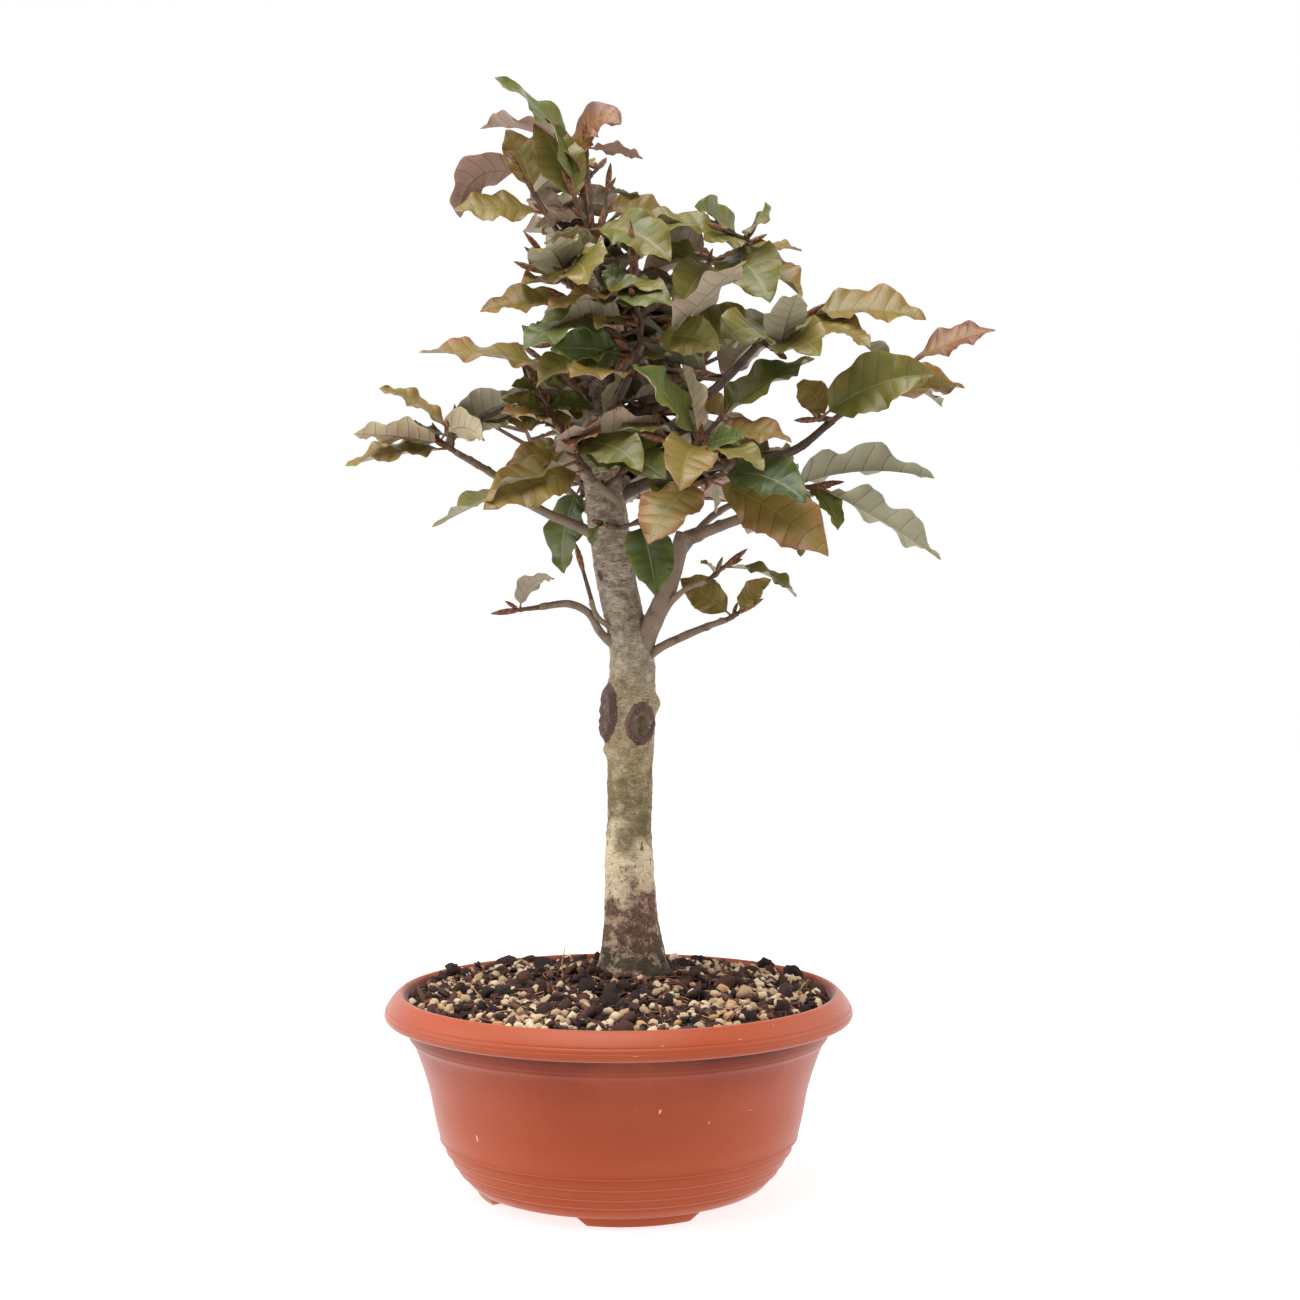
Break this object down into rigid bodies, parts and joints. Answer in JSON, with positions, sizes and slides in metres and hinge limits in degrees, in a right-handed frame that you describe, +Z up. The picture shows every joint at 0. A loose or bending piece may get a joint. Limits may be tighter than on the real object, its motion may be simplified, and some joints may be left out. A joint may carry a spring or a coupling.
{
  "type": "potted young copper beech",
  "caption": "Young copper beech with a pruned trunk, thin boughs and masses of olive and bronze leaves, standing in a round plastic training bowl of dark substrate.",
  "frame": {"origin": "on the ground on the bowl's axis, at the middle of the flat pad under the bowl", "axes": "+Z up, +X to the right seen from the front, +Y from the front to the back"},
  "size_m": [0.3904, 0.2945, 0.6643],
  "materials": {
    "bowl_plastic": "satin terracotta-coloured plastic with fine ring grooves and a few pale scratches",
    "substrate": null,
    "bark": "grey-silver bark with fine cross marks, olive algae lower down and brown at the foot",
    "leaves": "olive, bronze and dark green blades with paler veins and silvery mauve undersides"
  },
  "bodies": {
    "root": {"bowl": "bowl_plastic", "soil": "substrate", "trunk": "bark", "bough_low_right": "bark", "bough_cut_right": "bark", "bough_right_low": "bark", "bough_right_thin": "bark", "bough_right_twig": "bark", "bough_low_left": "bark", "bough_spur_left": "bark", "bough_left": "bark", "bough_front_left": "bark", "bough_front": "bark", "bough_right_mid": "bark", "bough_middle": "bark", "bough_middle_low": "bark", "bough_right_upper": "bark", "bough_top_right": "bark", "bough_back_left": "bark", "bough_back_right": "bark", "bough_back_low": "bark", "bough_back_top": "bark", "foliage_top": "leaves", "foliage_top_left": "leaves", "foliage_spur_top": "leaves", "foliage_spur_mid": "leaves", "foliage_front": "leaves", "foliage_top_right": "leaves", "foliage_right_top": "leaves", "foliage_right": "leaves", "foliage_right_low": "leaves", "foliage_middle": "leaves", "foliage_middle_low": "leaves", "foliage_front_spur": "leaves", "foliage_front_left": "leaves", "foliage_left": "leaves", "foliage_spur_side": "leaves", "foliage_low_left": "leaves", "twig_low_left": "leaves", "foliage_low_right": "leaves", "foliage_right_twig": "leaves", "foliage_back_left": "leaves", "foliage_back_right": "leaves", "foliage_back_low": "leaves", "foliage_back_top": "leaves"}
  },
  "joints": []
}
